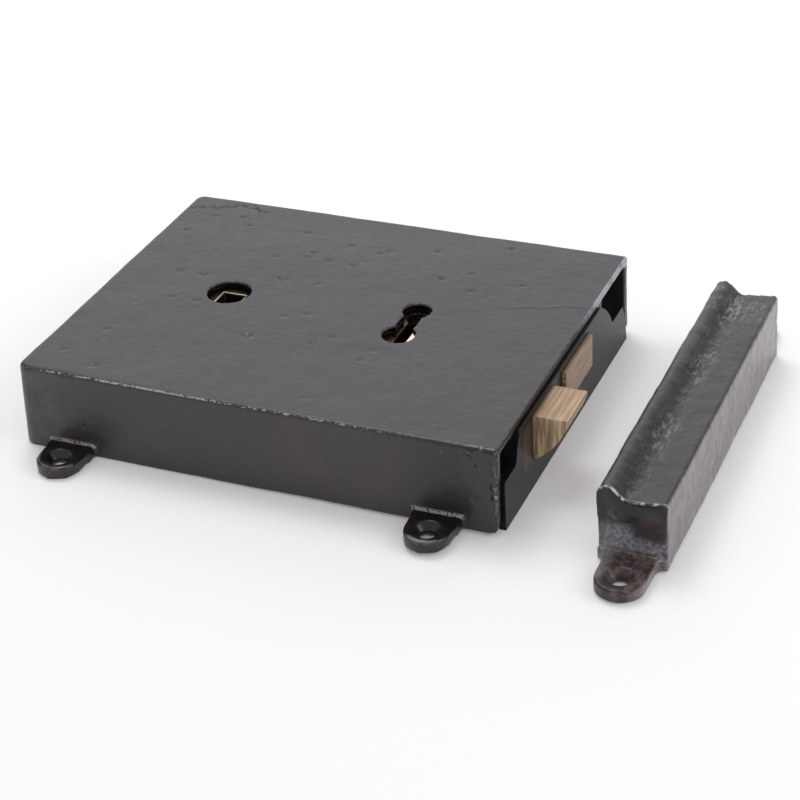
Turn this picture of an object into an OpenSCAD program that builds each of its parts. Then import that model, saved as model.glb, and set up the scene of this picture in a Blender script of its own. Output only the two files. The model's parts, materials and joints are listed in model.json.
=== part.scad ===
// Rim box lock: a pressed-steel two-lever lock case inside a cast iron box cover,
// with its cast iron keep lying beside it.
// Origin: centre of the four cover screw lugs, on the door face. X runs to the forend,
// Y up the door edge, Z out of the door. The latch is out and the dead bolt is drawn in.

/* [Cover] */
// Length of the cover from its rear end to its open end
cover_l = 185.4; // [178:0.2:200]
// Height of the cover along the door edge
cover_w = 147; // [145:1:165]
// How far the cover stands off the door
cover_h = 33; // [33:1:38]
// Thickness of the cast side walls
cover_wall = 4; // [3:0.5:4]
// Thickness of the cover's top
cover_roof = 3; // [2.4:0.1:3]
// How far each cast wall leans outwards at its foot
cover_draft = 1.2; // [0.4:0.1:2]
// Rounding of the cover's two upright corners
cover_corner = 4; // [3.5:0.5:6]
// Rounding of the cover's top edge
cover_edge = 1.6; // [1:0.1:1.7]
// Round hole for the knob spindle
knob_hole_d = 17.5; // [17:0.5:20]
// Diameter of the cover's keyhole over the key's stem
key_lobe_d = 11.5; // [9:0.5:13]
// Diameter of the keyhole's lower round end
key_foot_d = 13; // [11:0.5:13.4]
// Distance between the keyhole's two round ends
key_lobe_pitch = 18.2; // [16:0.2:19]
// Width of the keyhole between its round ends
key_neck_w = 7; // [6:0.5:9]

/* [Screw lugs] */
// Width of a cover lug at its round nose
lug_w = 16.4; // [14:0.2:20]
// How much a lug widens on each side towards the cover wall
lug_flare = 1.1; // [0:0.1:2]
// Distance of a lug's hole from the top of the cover wall
lug_reach = 11.4; // [11:0.1:16]
// Thickness of the lugs and of the keep's feet
lug_t = 4.6; // [4:0.2:6]
// Diameter of the screw holes
screw_hole_d = 5.2; // [4.5:0.1:5.5]
// Diameter of the countersinks
screw_head_d = 10.4; // [9:0.2:11]
// Distance of the rear lugs' holes from the cover's rear end
lug_rear_inset = 20.4; // [14:0.2:24]
// Distance of the front lugs' holes from the cover's open end
lug_front_inset = 21.6; // [18:0.2:26]

/* [Lock case] */
// Room between the case's rear end and the cover's rear wall
case_rear_room = 18; // [14:0.2:24]
// Room between the case's upper edge and the cover's side wall
case_top_room = 24.5; // [20:0.5:25]
// Room between the case's lower edge and the cover's side wall
case_bottom_room = 12.5; // [12:0.5:14]
// Room between the case's cap and the cover's top
case_cap_room = 0.6; // [0.5:0.1:1]
// Thickness of the case's sheet steel
sheet_t = 1.6; // [1.2:0.1:1.8]
// Thickness of the forend plate
forend_t = 2.6; // [2:0.1:3]
// How far the forend plate stands proud of the cover
forend_proud = 1.2; // [1:0.1:1.6]
// How far the forend plate's lip drops over the door edge
forend_lip = 1.4; // [1:0.1:2]
// Room between each end of the forend plate and the cover's leaning side wall
forend_room = 0.3; // [0.3:0.1:1]

/* [Latch] */
// Distance of the spindle from the case's rear end
spindle_inset = 28; // [27:0.5:30]
// Side of the square spindle hole
spindle_sq = 9.5; // [7.6:0.1:10]
// How far the latch stands out of the forend
latch_out = 12.5; // [11:0.1:12.6]
// Width of the latch head along the door edge
latch_w = 21.6; // [18:0.2:22]
// Distance of the latch's middle above the case's lower edge
latch_rise = 27.6; // [27:0.1:28]
// Mean radius of the latch spring's coils
spring_r = 3.4; // [3.2:0.1:3.6]
// Thickness of the latch spring's wire
spring_wire = 1.1; // [0.8:0.1:1.2]
// Number of coils in the latch spring
spring_coils = 10; // [8:1:12]

/* [Dead bolt] */
// Distance of the key from the forend face
key_backset = 62.5; // [61.6:0.1:62.6]
// Height of the key over the spindle, along the door edge
key_rise = 8; // [7.6:0.1:8.4]
// Travel of the dead bolt
bolt_throw = 13; // [12:0.1:13]
// Width of the dead bolt along the door edge
bolt_w = 30; // [26:0.5:31]
// How far the drawn-in dead bolt stands proud of the forend
bolt_proud = 1.5; // [0.5:0.1:1.5]
// Turn of the levers over the whole bolt travel
lever_turn = 5; // [4.5:0.1:5.2]

/* [Keep] */
// Length of the keep's box along the door edge
keep_l = 149.6; // [146:0.2:154]
// Width of the keep's box
keep_w = 24.9; // [23.5:0.1:28]
// Height of the keep at its outer edge
keep_h = 25.8; // [25.6:0.1:28]
// Height of the bead along the keep's mouth
keep_bead_h = 29; // [28.8:0.1:32]
// Thickness of the keep's walls
keep_wall = 3; // [2.6:0.1:3]
// Gap between the forend face and the keep as it lies here
keep_gap = 33.8; // [30:0.2:40]

/* [Hidden] */
$fn = 96;
eps = 0.01;
play = 0.3;
running_fit = 0.08;

// places along X
lug_pitch = cover_l - lug_rear_inset - lug_front_inset;
front_x = lug_pitch / 2 + lug_front_inset;
rear_x = front_x - cover_l;
forend_x = front_x + forend_proud;
forend_back_x = forend_x - forend_t;
case_rear_x = rear_x + cover_wall + case_rear_room;
case_l = forend_back_x - case_rear_x;
spindle_x = case_rear_x + spindle_inset;
key_x = forend_x - key_backset;
keep_x = forend_x + keep_gap;

// places along Y
lug_y = cover_w / 2 + lug_reach;
case_top = cover_w / 2 - cover_wall - case_top_room;
case_bottom = cover_w / 2 - cover_wall - case_bottom_room;
case_w = case_top + case_bottom;
forend_w = cover_w - 2 * cover_wall - 2 * forend_room;
latch_y = latch_rise - case_bottom;
bolt_y = 6.3;

// levels along Z
cover_inner_z = cover_h - cover_roof;
cap_top_z = cover_inner_z - case_cap_room;
cap_z = cap_top_z - sheet_t;
forend_top_z = cover_inner_z - 0.1;
wing_top_z = 18.4;
latch_top_z = cap_z - play;
latch_z = 9.6;
latch_h = latch_top_z - latch_z;
bolt_z = 13.5;
bolt_t = latch_top_z - 0.5 - bolt_z;

// latch works
latch_head_back = 16.5;
head_rear_x = forend_x - latch_head_back;
latch_tail_z = latch_z + 0.4;
latch_tail_t = 2.5;
latch_bar_w = 10;
shoulder = 2;
latch_bevel_r = 28.6;
hub_d = 22;
hub_boss_d = 16;
arm_t = 5;
arm_z = latch_tail_z - 1 - arm_t;
arm_r = 28;
arm_half_w = 3;
drive_pin_r = 2.5;
drive_pin_y = 20;
drive_pin_x = spindle_x - arm_half_w - drive_pin_r - play;
yoke_y = 26;
yoke_front_x = spindle_x + hub_d / 2 + latch_out + 1;
yoke_web = 7;
stop_setback = 58;
stop_x = forend_x - stop_setback;
stop_t = 4;
rod_tail = 10;
spring_z = latch_top_z - 4.9;
spring_rod_r = 2;
rod_seat = 6;
tail_seat = 10;
spring_free_gap = 0.15;

// dead bolt works
bolt_end_x = forend_x + bolt_proud;
bolt_head_l = 30;
bolt_tail_t = 3;
bolt_lap = 14;
stump_setback = 37.3;
stump_x = key_x - stump_setback;
stump_y = case_top - 19;
stump_half = 2;
bit_r = stump_y - key_rise;
bar_y = stump_y - 7;
bar_top_y = stump_y + 5;
bar_rear_x = stump_x - 6;
talon_w = 2 * sqrt(bit_r * bit_r - (bar_y - key_rise) * (bar_y - key_rise)) - bolt_throw;
talon_x = key_x - bolt_throw / 2;
guide_pin_x = key_x + 20.7;
guide_pin_r = 2.6;

// levers
lever_t = 2;
lever_gap = 0.5;
lever_z = bolt_z + bolt_tail_t + 0.6;
pivot_ahead = 29.7;
pivot_x = key_x + pivot_ahead;
pivot_y = case_top - 9.5;
pivot_r = 3;
lever_eye_r = 6;
belly_r = bit_r - 0.5;
bridge_w = 2.6;
window_room = 0.45;
leaf_t = 0.6;
leaf_r = 45;
leaf_x = key_x - 2;
leaf_y = case_top - sheet_t - 0.02 - leaf_t / 2 - leaf_r;

// where the stump ends in a lever's window once the bolt is thrown and the lever lifted
stump_arm = [stump_x + bolt_throw - pivot_x, stump_y - pivot_y];
sway = pivot_x + stump_arm[0] * cos(lever_turn) - stump_arm[1] * sin(lever_turn) - stump_x;
drop = stump_y - pivot_y - stump_arm[0] * sin(lever_turn) - stump_arm[1] * cos(lever_turn);

// pillars, case lugs and screws
pillar_r = 4;
pillar_inset = 8;
pillar_xs = [case_rear_x + pillar_inset, forend_back_x - pillar_inset];
pillar_ys = [pillar_inset + 0.5 - case_bottom, case_top - pillar_inset + 1];
cap_screw_r = 2;
cap_screw_head_r = 3.5;
case_lug_ahead = 25.7;
case_lug_xs = [spindle_x - 1.9, key_x + case_lug_ahead];
case_lug_ys = [-case_bottom - 5.6, case_top + 9];
case_lug_r = 5.5;
boss_r = 4.5;

// flush rivets that hold the forend to the case, placed in Y and Z
rivet_r = 1.5;
rivet_inset = 6;
rivet_far_inset = 8;
rivet_low_z = 7;
rivet_high_z = 21;
rivet_ys = [rivet_inset - case_bottom, case_top - rivet_far_inset];
rivet_places = [for (y = rivet_ys, z = [rivet_low_z, rivet_high_z]) [y, z]];

// keep
keep_z = -forend_lip;
keep_dish_h = 24.3;
keep_bead_x = 3.7;
keep_cove_x = 10.6;
keep_edge_r = 1.4;
keep_bead_r = 3;
keep_lean = 1.2;
keep_draft = 0.7;
keep_mouth_h = 24.5;
keep_foot_r = 8.8;
keep_foot_reach = 13;

// Plate outline drawn in Y and Z, given a thickness along X from x0.
module sheet_yz(x0, t) {
    translate([x0, 0, 0]) rotate([90, 0, 90]) linear_extrude(t) children();
}

// Slot with round ends along X between two centres.
module slot_x(x_from, x_to, y, r) {
    translate([x_from, y]) circle(r = r);
    translate([x_to, y]) circle(r = r);
    translate([x_from, y - r]) square([x_to - x_from, 2 * r]);
}

// Screw hole through a plate of thickness t, countersunk at its top face.
module countersunk_hole(t) {
    sink = (screw_head_d - screw_hole_d) / 2;
    translate([0, 0, -1]) cylinder(d = screw_hole_d, h = t + 2);
    translate([0, 0, t - sink]) cylinder(d1 = screw_hole_d, d2 = screw_head_d, h = sink + eps);
    translate([0, 0, t]) cylinder(d = screw_head_d, h = 1);
}

// Flush countersunk screw pointing down from z = 0.
module flush_screw(head_r, shank_r, head_h, length) {
    translate([0, 0, -head_h]) cylinder(r1 = shank_r, r2 = head_r, h = head_h);
    translate([0, 0, -length]) cylinder(r = shank_r, h = length - head_h + eps);
}

// Hole that the key passes: round for its stem, with a slot for its bit.
module case_keyhole() {
    stem_r = 4;
    slot_w = 4.4;
    bit_reach = bit_r + 1.5;
    translate([key_x, key_rise]) circle(r = stem_r);
    translate([key_x - slot_w / 2, key_rise - bit_reach]) square([slot_w, bit_reach]);
}

// Half profile of a cast wall: w wide at its top, wider by the draft at its foot, with a
// rounded top corner.
module drafted_half(w, h, r) {
    lean = atan(cover_draft / h);
    steps = 8;
    mid_x = w + cover_draft * r / h - r / cos(lean);
    round_top = [for (i = [0:steps]) let (a = lean + (90 - lean) * i / steps)
        [mid_x + r * cos(a), h - r + r * sin(a)]];
    polygon(concat([[0, 0], [w + cover_draft, 0]], round_top, [[0, h]]));
}

// Outside of the cover: square at its open end, with round upright corners and an eased top edge.
module cover_outside() {
    hw = cover_w / 2;
    body_x = rear_x + cover_corner;
    sheet_yz(body_x, cover_l - cover_corner) {
        drafted_half(hw, cover_h, cover_edge);
        mirror([1, 0]) drafted_half(hw, cover_h, cover_edge);
    }
    translate([body_x, hw - cover_corner, 0]) rotate([90, 0, 0])
        linear_extrude(cover_w - 2 * cover_corner) mirror([1, 0])
            drafted_half(cover_corner, cover_h, cover_edge);
    for (s = [-1, 1]) translate([body_x, s * (hw - cover_corner), 0])
        rotate_extrude() drafted_half(cover_corner, cover_h, cover_edge);
}

// Hollow of the cover, whose walls lean as the outside does.
module cover_hollow() {
    half = cover_w / 2 - cover_wall;
    foot = cover_draft * (1 + 1 / cover_h);
    roof = cover_draft * (1 - cover_inner_z / cover_h);
    end_x = rear_x + cover_wall;
    intersection() {
        sheet_yz(end_x - 2 * cover_draft, cover_l) polygon([[-half - foot, -1], [half + foot, -1],
            [half + roof, cover_inner_z], [-half - roof, cover_inner_z]]);
        translate([0, cover_w, 0]) rotate([90, 0, 0]) linear_extrude(2 * cover_w)
            polygon([[end_x - foot, -1], [front_x + 1, -1], [front_x + 1, cover_inner_z],
                [end_x - roof, cover_inner_z]]);
    }
}

// The four screw lugs at the foot of the cover's long sides.
module each_lug() {
    for (sx = [-1, 1], sy = [-1, 1])
        translate([sx * lug_pitch / 2, sy * lug_y, 0]) rotate(sy < 0 ? 180 : 0) children();
}

// A lug widens towards the wall and falls away at its nose.
module cover_lug() {
    root = 1;
    nose_fall = 12;
    r = lug_w / 2;
    difference() {
        linear_extrude(lug_t) {
            circle(r = r);
            polygon([[-r, 0], [-r - lug_flare, -lug_reach - root],
                [r + lug_flare, -lug_reach - root], [r, 0]]);
        }
        translate([-lug_w, screw_head_d / 2, lug_t]) rotate([-nose_fall, 0, 0])
            cube([2 * lug_w, lug_w, lug_t]);
    }
}

// Dumb-bell keyhole of the cover.
module cover_keyhole() {
    translate([key_x, key_rise]) circle(d = key_lobe_d);
    translate([key_x, key_rise - key_lobe_pitch]) circle(d = key_foot_d);
    translate([key_x - key_neck_w / 2, key_rise - key_lobe_pitch])
        square([key_neck_w, key_lobe_pitch]);
}

module cover_casting() color([0.32, 0.31, 0.33]) {
    stub_y = -24;
    stub_r = 3.5;
    bore_depth = 14;
    foot_r = 2.5;
    difference() {
        union() {
            cover_outside();
            each_lug() cover_lug();
            // Stub left where the metal was poured in
            translate([rear_x - 1, stub_y, cover_h - 2 * stub_r])
                rotate([0, 90, 0]) cylinder(r = stub_r, h = 2);
        }
        cover_hollow();
        // Rounded foot of both side walls at the open end
        translate([front_x, cover_w, 0]) rotate([90, 0, 0]) linear_extrude(2 * cover_w) difference() {
            translate([-foot_r, -1]) square([foot_r + 1, foot_r + 1]);
            translate([-foot_r, foot_r]) circle(r = foot_r);
        }
        translate([spindle_x, 0, cover_inner_z - 1]) cylinder(d = knob_hole_d, h = cover_roof + 2);
        translate([0, 0, cover_inner_z - 1]) linear_extrude(cover_roof + 2) cover_keyhole();
        each_lug() countersunk_hole(lug_t);
    }
    // Bosses that the lock case is screwed to
    for (x = case_lug_xs, y = case_lug_ys) translate([x, y, sheet_t]) difference() {
        cylinder(r = boss_r, h = cover_inner_z - sheet_t + eps);
        translate([0, 0, -1]) cylinder(r = cap_screw_r + running_fit, h = bore_depth + 1);
    }
}

// Forend: a full-width band with a narrower head that closes the mouth of the cover.
module forend_outline() {
    hw = forend_w / 2;
    low = -forend_lip;
    near = -case_bottom - 0.5;
    far = case_top + 5.5;
    top = forend_top_z;
    far_wing_z = wing_top_z - 2.6;
    near_lean = cover_draft * (1 - wing_top_z / cover_h);
    polygon([[-hw, low], [hw, low], [hw - 2.2, wing_top_z / 2], [hw - 5.8, far_wing_z],
        [far, far_wing_z], [far - 2.6, top - 10], [far - 6, top - 6.2], [far - 10, top - 2.8],
        [far - 14.5, top], [near + 4.5, top], [near + 2.8, top - 0.8], [near + 1, top - 5],
        [near, wing_top_z + 2], [near - 1.2, wing_top_z], [-hw - near_lean + 0.8, wing_top_z],
        [-hw - near_lean, wing_top_z - 0.8]]);
}

module latch_opening() {
    translate([latch_y - latch_w / 2 - play, latch_z - play])
        square([latch_w + 2 * play, latch_h + 2 * play - eps]);
}

module bolt_opening() {
    translate([bolt_y - bolt_w / 2 - play, bolt_z - play])
        square([bolt_w + 2 * play, bolt_t + 2 * play]);
}

module forend_plate() color([0.35, 0.35, 0.37]) {
    sheet_yz(forend_back_x, forend_t) difference() {
        forend_outline();
        latch_opening();
        bolt_opening();
        for (p = rivet_places) translate(p) circle(r = rivet_r);
    }
}

module forend_rivets() color([0.42, 0.42, 0.44]) {
    for (p = rivet_places)
        sheet_yz(forend_back_x - sheet_t, forend_t + sheet_t) translate(p) circle(r = rivet_r);
}

module case_tray() color([0.22, 0.21, 0.22]) {
    difference() {
        union() {
            difference() {
                translate([case_rear_x, -case_bottom, 0]) cube([case_l, case_w, cap_z]);
                translate([case_rear_x + sheet_t, -case_bottom + sheet_t, sheet_t])
                    cube([case_l - 2 * sheet_t, case_w - 2 * sheet_t, cap_z]);
            }
            // Ears by which the case is screwed into the cover
            for (x = case_lug_xs, y = case_lug_ys) {
                reach = y > 0 ? y - case_top : -case_bottom - y;
                translate([x, y, 0]) cylinder(r = case_lug_r, h = sheet_t);
                translate([x - case_lug_r, y > 0 ? y - reach - eps : y, 0])
                    cube([2 * case_lug_r, reach + eps, sheet_t]);
            }
        }
        translate([spindle_x, 0, -1]) cylinder(r = hub_boss_d / 2 + running_fit, h = sheet_t + 2);
        translate([0, 0, -1]) linear_extrude(sheet_t + 2) case_keyhole();
        sheet_yz(forend_back_x - sheet_t - 1, sheet_t + 2) latch_opening();
        sheet_yz(forend_back_x - sheet_t - 1, sheet_t + 2) bolt_opening();
        for (p = rivet_places) sheet_yz(forend_back_x - sheet_t - 1, sheet_t + 2)
            translate(p) circle(r = rivet_r);
        for (x = case_lug_xs, y = case_lug_ys) translate([x, y, 0])
            cylinder(r1 = cap_screw_head_r, r2 = cap_screw_r, h = sheet_t);
    }
}

module case_cap() color([0.20, 0.20, 0.21]) {
    difference() {
        translate([case_rear_x, -case_bottom, cap_z]) cube([case_l, case_w, sheet_t]);
        translate([spindle_x, 0, cap_z - 1]) cylinder(r = hub_boss_d / 2 + running_fit, h = sheet_t + 2);
        translate([0, 0, cap_z - 1]) linear_extrude(sheet_t + 2) case_keyhole();
        for (x = pillar_xs, y = pillar_ys) translate([x, y, cap_z])
            cylinder(r1 = cap_screw_r, r2 = cap_screw_head_r, h = sheet_t);
    }
}

module cap_pillars() color([0.55, 0.55, 0.57]) {
    thread_l = 14.6;
    for (x = pillar_xs, y = pillar_ys) translate([x, y, sheet_t]) difference() {
        cylinder(r = pillar_r, h = cap_z - sheet_t);
        translate([0, 0, cap_z - sheet_t - thread_l]) cylinder(r = cap_screw_r, h = cap_z);
    }
}

module cap_screws() color([0.6, 0.6, 0.62]) {
    screw_l = 10;
    for (x = pillar_xs, y = pillar_ys) translate([x, y, cap_top_z])
        flush_screw(cap_screw_head_r, cap_screw_r, sheet_t, screw_l);
}

module case_screws() color([0.5, 0.5, 0.52]) {
    screw_l = 13;
    for (x = case_lug_xs, y = case_lug_ys) translate([x, y, 0])
        mirror([0, 0, 1]) flush_screw(cap_screw_head_r, cap_screw_r, sheet_t, screw_l);
}

// Follower: the hub that the knob spindle turns, with an arm each way for either hand.
module follower() color([0.74, 0.62, 0.38]) {
    arm = arm_r - arm_half_w;
    low = 0.2;
    top = cover_inner_z - low;
    difference() {
        translate([spindle_x, 0, 0]) union() {
            translate([0, 0, low]) cylinder(d = hub_boss_d, h = top - low);
            translate([0, 0, sheet_t + low]) cylinder(d = hub_d, h = cap_z - sheet_t - 2 * low);
            translate([-arm_half_w, -arm, arm_z]) cube([2 * arm_half_w, 2 * arm, arm_t]);
            for (s = [-1, 1]) translate([0, s * arm, arm_z]) cylinder(r = arm_half_w, h = arm_t);
        }
        translate([spindle_x - spindle_sq / 2, -spindle_sq / 2, -1]) cube([spindle_sq, spindle_sq, top + 2]);
    }
}

// Latch head: its lower face is a round bevel that rides over the keep's bead.
module latch_head() color([0.71, 0.57, 0.38]) {
    tip_x = forend_x + latch_out;
    nose_t = 1.4;
    foot = [forend_x + 0.6, latch_z + 0.4];
    nose = [tip_x, latch_top_z - nose_t];
    span = nose - foot;
    chord = norm(span);
    rise = sqrt(latch_bevel_r * latch_bevel_r - chord * chord / 4);
    middle = (foot + nose) / 2;
    centre = middle + [-span[1], span[0]] * rise / chord;
    shoulder_end = forend_back_x - sheet_t;
    difference() {
        intersection() {
            union() {
                translate([head_rear_x, latch_y - latch_w / 2, latch_z])
                    cube([tip_x - head_rear_x, latch_w, latch_h]);
                translate([head_rear_x, latch_y - latch_w / 2 - shoulder, latch_z])
                    cube([shoulder_end - head_rear_x, latch_w + 2 * shoulder, latch_h]);
            }
            translate([centre[0], latch_y + latch_w, centre[1]])
                rotate([90, 0, 0]) cylinder(r = latch_bevel_r, h = 2 * latch_w, $fn = 256);
        }
        translate([head_rear_x - 1, latch_y, spring_z])
            rotate([0, 90, 0]) cylinder(r = spring_rod_r, h = rod_seat + 1);
        translate([head_rear_x - 1, latch_y - latch_bar_w / 2, latch_tail_z])
            cube([tail_seat + 1, latch_bar_w, latch_tail_t]);
        latch_rivet_pair();
    }
}

module latch_rivet_pair() {
    rivet = 1.6;
    rivet_h = spring_z - spring_rod_r - 2.5 - latch_z;
    spread = 2.2;
    for (s = [-1, 1]) translate([head_rear_x + tail_seat / 2 + s * spread, latch_y, latch_z])
        cylinder(r = rivet, h = rivet_h);
}

module latch_rivets() color([0.66, 0.52, 0.34]) latch_rivet_pair();

// Tail: a flat bar that forks round the follower and carries the two drive pins.
module latch_tail() color([0.52, 0.52, 0.54]) {
    prong_y = 13.5;
    prong_rear_x = drive_pin_x - 5;
    bar_low = latch_y - latch_bar_w / 2;
    difference() {
        translate([0, 0, latch_tail_z]) linear_extrude(latch_tail_t) difference() {
            union() {
                translate([yoke_front_x, bar_low]) square([yoke_web, yoke_y - bar_low]);
                translate([yoke_front_x, bar_low])
                    square([head_rear_x + tail_seat - yoke_front_x, latch_bar_w]);
                for (s = [-1, 1])
                    translate([prong_rear_x, s < 0 ? -yoke_y : prong_y])
                        square([yoke_front_x - prong_rear_x + eps, yoke_y - prong_y]);
            }
            for (s = [-1, 1]) translate([drive_pin_x, s * drive_pin_y]) circle(r = drive_pin_r);
        }
        latch_rivet_pair();
    }
}

module latch_drive_pins() color([0.6, 0.6, 0.62]) {
    low = arm_z + 0.4;
    for (s = [-1, 1]) translate([drive_pin_x, s * drive_pin_y, low])
        cylinder(r = drive_pin_r, h = latch_tail_z + latch_tail_t - low);
}

module latch_spring_rod() color([0.6, 0.6, 0.62]) {
    rear = stop_x - rod_tail;
    translate([rear, latch_y, spring_z])
        rotate([0, 90, 0]) cylinder(r = spring_rod_r, h = head_rear_x + rod_seat - rear);
}

// Bracket that the spring pushes against; it also guides the tail and the rod.
module latch_spring_stop() color([0.45, 0.45, 0.47]) {
    half = 12.5;
    top = cap_z - 0.6;
    side = latch_bar_w / 2 + play;
    difference() {
        translate([stop_x, latch_y - half, sheet_t]) cube([stop_t, 2 * half, top - sheet_t]);
        translate([stop_x - 1, latch_y - side, latch_tail_z - play])
            cube([stop_t + 2, 2 * side, latch_tail_t + 2 * play]);
        translate([stop_x - 1, latch_y, spring_z])
            rotate([0, 90, 0]) cylinder(r = spring_rod_r + running_fit, h = stop_t + 2);
    }
}

// Ring of a wire tube's points at step i of a helix along X, leaning with the helix.
function wire_ring(i, from_x, run, steps, rings, sides, rise) =
    let (turn = 360 * i / rings, x = from_x + run * i / steps, lean = sqrt(1 + rise * rise))
    [for (k = [0:sides - 1]) let (b = 360 * k / sides, out = cos(b) * spring_wire / 2,
        along = sin(b) * spring_wire / 2 / lean)
        [x + along,
            latch_y + (spring_r + out) * cos(turn) + along * rise * sin(turn),
            spring_z + (spring_r + out) * sin(turn) - along * rise * cos(turn)]];

// Coil spring as one tube along a helix.
module latch_spring() {
    rings = 8;
    sides = 6;
    from_x = stop_x + stop_t + spring_free_gap + spring_wire / 2;
    to_x = head_rear_x - spring_free_gap - spring_wire / 2;
    run = to_x - from_x;
    steps = rings * spring_coils;
    rise = run / (2 * PI * spring_r * spring_coils);
    echo(least_gap_between_coils = run / spring_coils - spring_wire);
    points = [for (i = [0:steps]) each wire_ring(i, from_x, run, steps, rings, sides, rise)];
    walls = [for (i = [0:steps - 1], k = [0:sides - 1])
        let (n = (k + 1) % sides, a = i * sides + k, b = i * sides + n, c = a + sides, d = b + sides)
        each [[a, b, d], [a, d, c]]];
    first = [for (k = [sides - 1:-1:0]) k];
    last = [for (k = [0:sides - 1]) steps * sides + k];
    color([0.62, 0.62, 0.64]) polyhedron(points, concat(walls, [first, last]));
}

// Dead bolt head, cut away below at the rear to take the steel tail.
module dead_bolt_head() color([0.72, 0.58, 0.40]) {
    head_x = bolt_end_x - bolt_head_l;
    difference() {
        translate([head_x, bolt_y - bolt_w / 2, bolt_z]) cube([bolt_head_l, bolt_w, bolt_t]);
        translate([head_x - 1, bolt_y - bolt_w, bolt_z - 1])
            cube([bolt_lap + 1, 2 * bolt_w, bolt_tail_t + 1]);
        dead_bolt_rivet_pair();
    }
}

module dead_bolt_rivet_pair() {
    rivet = 2;
    spread = 8;
    for (s = [-1, 1]) translate([bolt_end_x - bolt_head_l + bolt_lap / 2, bolt_y + s * spread, bolt_z])
        cylinder(r = rivet, h = bolt_t);
}

module dead_bolt_rivets() color([0.66, 0.52, 0.34]) dead_bolt_rivet_pair();

// Dead bolt tail: a steel plate with the notch that the key's bit drives.
module dead_bolt_tail() color([0.50, 0.50, 0.52]) {
    head_x = bolt_end_x - bolt_head_l;
    web_x = key_x + bit_r + 3.7;
    low_y = bolt_y - bolt_w / 2;
    notch_top = key_rise + bit_r + 0.5;
    guide_y = (bar_y + bar_top_y) / 2;
    difference() {
        translate([0, 0, bolt_z]) linear_extrude(bolt_tail_t) difference() {
            union() {
                translate([web_x, low_y]) square([head_x - web_x, bar_top_y - low_y]);
                translate([head_x - eps, low_y]) square([bolt_lap + eps, bolt_w]);
                translate([bar_rear_x, bar_y]) square([web_x - bar_rear_x + eps, bar_top_y - bar_y]);
            }
            translate([talon_x - talon_w / 2, bar_y - 1])
                square([talon_w, notch_top - bar_y + 1]);
            slot_x(guide_pin_x - bolt_throw, guide_pin_x, guide_y, guide_pin_r + running_fit);
        }
        stump_shank();
        dead_bolt_rivet_pair();
    }
}

module stump_shank() {
    shank_r = 1.5;
    translate([stump_x, stump_y, bolt_z]) cylinder(r = shank_r, h = bolt_tail_t);
}

module bolt_stump() color([0.58, 0.58, 0.60]) {
    top = lever_z + 2 * lever_t + lever_gap + 0.6;
    stump_shank();
    translate([stump_x - stump_half, stump_y - stump_half, bolt_z + bolt_tail_t])
        cube([2 * stump_half, 2 * stump_half, top - bolt_z - bolt_tail_t]);
}

module bolt_guide_pin() color([0.6, 0.6, 0.62]) {
    shoulder_r = 4;
    shoulder_z = bolt_z - 0.2;
    translate([guide_pin_x, (bar_y + bar_top_y) / 2, sheet_t]) {
        cylinder(r = shoulder_r, h = shoulder_z - sheet_t);
        cylinder(r = guide_pin_r, h = lever_z - 0.2 - sheet_t);
    }
}

// Window of a lever: two pockets for the stump, joined by the gate through the bridge.
module lever_window() {
    half = stump_half + window_room;
    over = 1.2;
    lift = 3.2;
    overlap = 1;
    mid_x = stump_x + sway / 2;
    mid_y = stump_y - drop / 2 - 0.2;
    bridge_from = mid_x - bridge_w / 2;
    bridge_to = mid_x + bridge_w / 2;
    gate_h = 2 * half + drop * (bridge_w + 2 * stump_half) / sway;
    translate([stump_x - half, stump_y - half - lift])
        square([bridge_from - stump_x + half, 2 * half + lift + over]);
    translate([bridge_to, stump_y - drop - half - over])
        square([stump_x + sway + half - bridge_to, 2 * half + lift + over]);
    translate([bridge_from - overlap, mid_y - gate_h / 2]) square([bridge_w + 2 * overlap, gate_h]);
}

// Arc of the lever's leaf spring: it leaves the lever and presses on the case wall.
module leaf_arc(t) {
    reach_back = 24;
    reach_front = 5;
    depth = 12;
    intersection() {
        difference() {
            translate([leaf_x, leaf_y]) circle(r = leaf_r + t / 2, $fn = 256);
            translate([leaf_x, leaf_y]) circle(r = leaf_r - t / 2, $fn = 256);
        }
        translate([leaf_x - reach_back, leaf_y + leaf_r - depth])
            square([reach_back + reach_front, depth + t]);
    }
}

// Brass lever: an eye on the post, a hollow belly lifted by the key and a window for the stump.
module lever_outline() {
    left = stump_x - 7;
    top = stump_y + 10.5;
    low = stump_y - 12.5;
    corner = 3.5;
    toe = [key_x + belly_r + 0.2, stump_y - 4];
    difference() {
        union() {
            translate([pivot_x, pivot_y]) circle(r = lever_eye_r);
            polygon([[pivot_x, pivot_y + lever_eye_r], [left + 6, top], [left, top - corner],
                [left, low + corner / 2], [left + corner / 2, low], [stump_x + 18, low], toe,
                [pivot_x - 1, pivot_y - lever_eye_r]]);
        }
        translate([pivot_x, pivot_y]) circle(r = pivot_r + running_fit);
        translate([key_x, key_rise]) circle(r = belly_r);
        lever_window();
        leaf_arc(leaf_t);
    }
}

module lever(z) color([0.80, 0.68, 0.42]) {
    translate([0, 0, z]) linear_extrude(lever_t) lever_outline();
}

module lever_lower() lever(lever_z);

module lever_upper() lever(lever_z + lever_t + lever_gap);

module lever_leaf(z) color([0.85, 0.74, 0.48]) {
    translate([0, 0, z]) linear_extrude(lever_t) leaf_arc(leaf_t);
}

module lever_spring_lower() lever_leaf(lever_z);

module lever_spring_upper() lever_leaf(lever_z + lever_t + lever_gap);

module lever_spacer() color([0.6, 0.6, 0.62]) {
    translate([pivot_x, pivot_y, lever_z + lever_t]) difference() {
        cylinder(r = lever_eye_r - 1, h = lever_gap);
        translate([0, 0, -1]) cylinder(r = pivot_r, h = lever_gap + 2);
    }
}

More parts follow.
